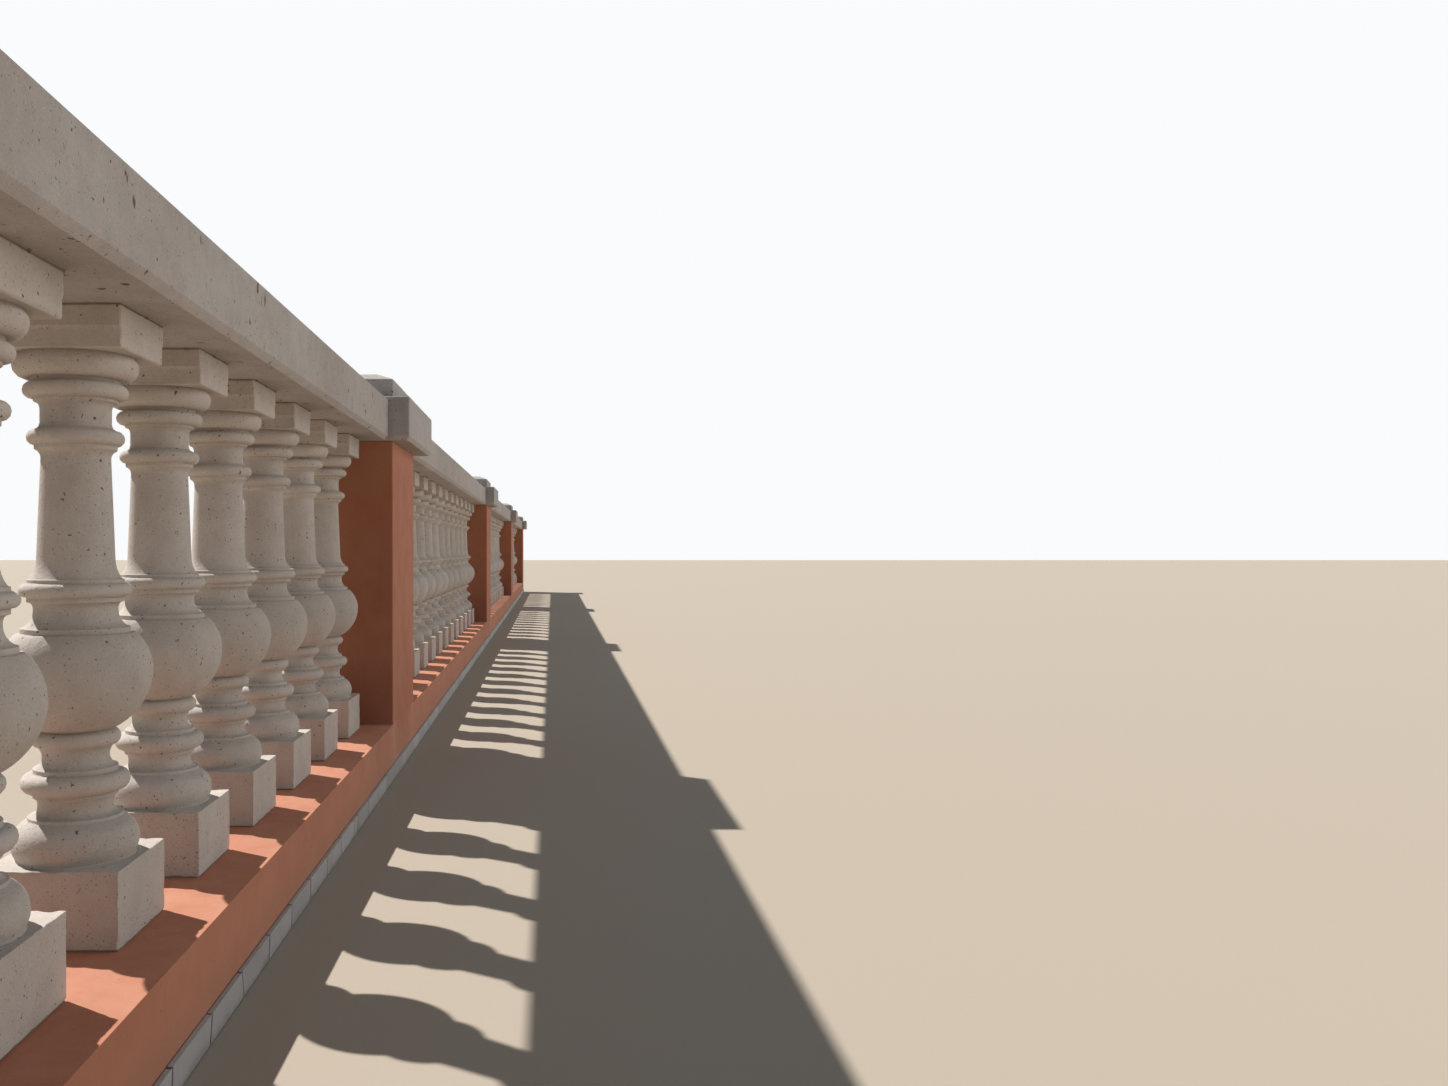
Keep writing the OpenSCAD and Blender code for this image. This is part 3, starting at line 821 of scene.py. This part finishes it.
cap_stone = cast_stone(
    "cap_cast_stone", CAP_TONE, CAP_PALE, CAP_DEEP,
    streaks=0.14, greying=0.6, hollow_shade_and_dirt=0.3, blow_cell=0.026, blow_size=0.0052)
cap_bed_finish = mortar("cap_bed_mortar", CAP_MORTAR_TONE)
for number in range(1, BAYS + 2):
    low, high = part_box(f"pier_cap_{number}")
    middle = (low + high) / 2
    lower = block(Vector((low.x, low.y, low.z + BED)), Vector((high.x, high.y, CAP_BLOCK_TOP)))
    bmesh.ops.subdivide_edges(lower, edges=lower.edges[:], cuts=CAP_CUTS, use_grid_fill=True)
    foot = [e for e in lower.edges if e.calc_face_angle() > 1.0 and lies_at(e, 2, low.z + BED)]
    soften(lower, foot, CAP_CHAMFER - BED, 1)
    rest = [e for e in lower.edges if e.calc_face_angle() > 1.2]
    arrises = soften(lower, rest, CAP_ARRIS, 3)
    chip(arrises, Vector((middle.x, 0, CAP_LOWER_HEART_Z)), CAP_CHIP, CAP_CHIP_L, 0.2)
    upper_low = Vector((low.x + CAP_OVERHANG, low.y + CAP_OVERHANG, CAP_BLOCK_TOP - CAP_LAP))
    upper_high = Vector((high.x - CAP_OVERHANG, high.y - CAP_OVERHANG, CAP_SLOPE_FOOT))
    upper = block(upper_low, upper_high)
    lid = [face for face in upper.faces if face.normal.z > 0.9]
    made = bmesh.ops.extrude_face_region(upper, geom=lid)["geom"]
    bmesh.ops.delete(upper, geom=lid, context="FACES_ONLY")
    raised = [item for item in made if isinstance(item, bmesh.types.BMVert)]
    for vert in raised:
        vert.co.z = high.z
        vert.co.x -= math.copysign(CAP_SLOPE_IN, vert.co.x - middle.x)
        vert.co.y -= math.copysign(CAP_SLOPE_IN, vert.co.y)
    bmesh.ops.subdivide_edges(upper, edges=upper.edges[:], cuts=CAP_CUTS, use_grid_fill=True)
    upper.normal_update()
    sharp = [e for e in upper.edges if e.calc_face_angle() > 0.3]
    arrises = soften(upper, sharp, CAP_ARRIS, 3)
    chip(arrises, Vector((middle.x, 0, CAP_UPPER_HEART_Z)), CAP_CHIP, CAP_CHIP_L, 0.2)
    join_in(upper, lower)
    for vert in upper.verts:
        ripple = noise.noise_vector(vert.co / CAP_RIPPLE_L) * CAP_RIPPLE
        vert.co.x = min(max(vert.co.x + ripple.x, low.x), high.x)
        vert.co.y = min(max(vert.co.y + ripple.y, low.y), high.y)
        vert.co.z = min(max(vert.co.z + ripple.z, low.z), high.z)
    piece = as_piece(upper, f"cap_casting_{number}", cap_stone)
    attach(piece, "root")
    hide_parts(f"pier_cap_{number}")
    bed = bmesh.new()
    pier_low, pier_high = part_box(f"pier_{number}")
    rake = Vector((BED_RAKE, BED_RAKE, 0))
    bed_low = Vector((pier_low.x, pier_low.y, low.z - BED_SUNK)) + rake
    bed_high = Vector((pier_high.x, pier_high.y, low.z + BED + BED_SUNK)) - rake
    add_block(bed, bed_low, bed_high, BED_ARRIS)
    piece = as_piece(bed, f"cap_bed_{number}", cap_bed_finish)
    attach(piece, "root")


# Studio floor: a plain pale board that the run stands on and that keeps its shadow.
# It is no part of the object.
FLOOR_HALF = 60.0
FLOOR_TONE = (166, 154, 139)


def pale_board():
    """Matt pale board, warm grey, with the faintest tooth."""
    finish, tree, shader, place = start_finish("pale_floor_board")
    tooth = cloud(tree, place, 0.004, 2.0)
    tone = blend(tree, 1.0, colour(FLOOR_TONE), span(tree, tooth, 0.3, 0.7, 0.985, 1.0), "MULTIPLY")
    tree.links.new(tone, shader.inputs["Base Color"])
    shader.inputs["Roughness"].default_value = 0.9
    shader.inputs["Specular IOR Level"].default_value = 0.2
    return finish


board = bmesh.new()
bmesh.ops.create_grid(board, x_segments=4, y_segments=4, size=FLOOR_HALF)
board_shape = bpy.data.meshes.new("studio_floor")
board.to_mesh(board_shape)
board.free()
board_shape.materials.append(pale_board())
floor = bpy.data.objects.new("studio_floor", board_shape)
bpy.context.collection.objects.link(floor)


# Light: an even dome, a sun-like key from beyond the run, high ahead-left of the eye, and a wide fill from
# the terrace side. The background is white to the eye and in reflections, and doesn't light the object.
DOME_STRENGTH = 0.235
DOME_TINT = (0.64, 0.81, 1.0)
PAPER_TINT = (0.955, 0.965, 0.975)
KEY_STRENGTH = 6.3
KEY_TRAVEL = (-0.57, -0.82, -1.05)
KEY_SPREAD = 0.8
KEY_TINT = (1.0, 0.98, 0.95)
FILL_STRENGTH = 0.92
FILL_TRAVEL = (-0.16, 0.95, -0.25)
FILL_SPREAD = 50.0
FILL_TINT = (1.0, 0.96, 0.92)
LAMP_AWAY = 6.0

world = bpy.data.worlds.new("studio_dome")
bpy.context.scene.world = world
world.use_nodes = True
dome = world.node_tree
light = dome.nodes["Background"]
light.inputs["Color"].default_value = (*DOME_TINT, 1.0)
light.inputs["Strength"].default_value = DOME_STRENGTH
paper = put(dome, "Background", {"Color": (*PAPER_TINT, 1.0), "Strength": 1.0})
ray = put(dome, "LightPath", {})
seen = sums(dome, "MAXIMUM", ray.outputs["Is Camera Ray"], ray.outputs["Is Glossy Ray"])
seen = sums(dome, "MAXIMUM", seen, ray.outputs["Is Transmission Ray"])
either = put(dome, "MixShader", {0: seen, 1: light.outputs["Background"], 2: paper.outputs["Background"]})
dome.links.new(either.outputs["Shader"], dome.nodes["World Output"].inputs["Surface"])

for name, strength, travel, spread, tint in (
        ("key", KEY_STRENGTH, KEY_TRAVEL, KEY_SPREAD, KEY_TINT),
        ("fill", FILL_STRENGTH, FILL_TRAVEL, FILL_SPREAD, FILL_TINT)):
    lamp = bpy.data.lights.new(name, "SUN")
    lamp.energy = strength
    lamp.angle = math.radians(spread)
    lamp.color = tint
    lamp_stand = bpy.data.objects.new(name, lamp)
    lamp_stand.location = Vector(travel) * -LAMP_AWAY
    lamp_stand.rotation_euler = Vector(travel).to_track_quat("-Z", "Y").to_euler()
    bpy.context.collection.objects.link(lamp_stand)


# Eye: a level camera beside the first bay, looking straight along the run, with the frame shifted
# sideways so that the run's far end stands left of the middle, as in the photograph.
EYE = (-7.9165, -0.5862, 0.607)
LENS = 29.585
FRAME_SHIFT = (0.1181, 0.0045)

eye_lens = bpy.data.cameras.new("eye")
eye_lens.lens = LENS
eye_lens.sensor_width = 36.0
eye_lens.shift_x, eye_lens.shift_y = FRAME_SHIFT
eye_lens.clip_start = 0.05
eye_lens.clip_end = 400.0
eye = bpy.data.objects.new("eye", eye_lens)
eye.location = EYE
eye.rotation_euler = (math.pi / 2, 0.0, -math.pi / 2)
bpy.context.collection.objects.link(eye)
bpy.context.scene.camera = eye
bpy.context.scene.view_settings.view_transform = "Standard"
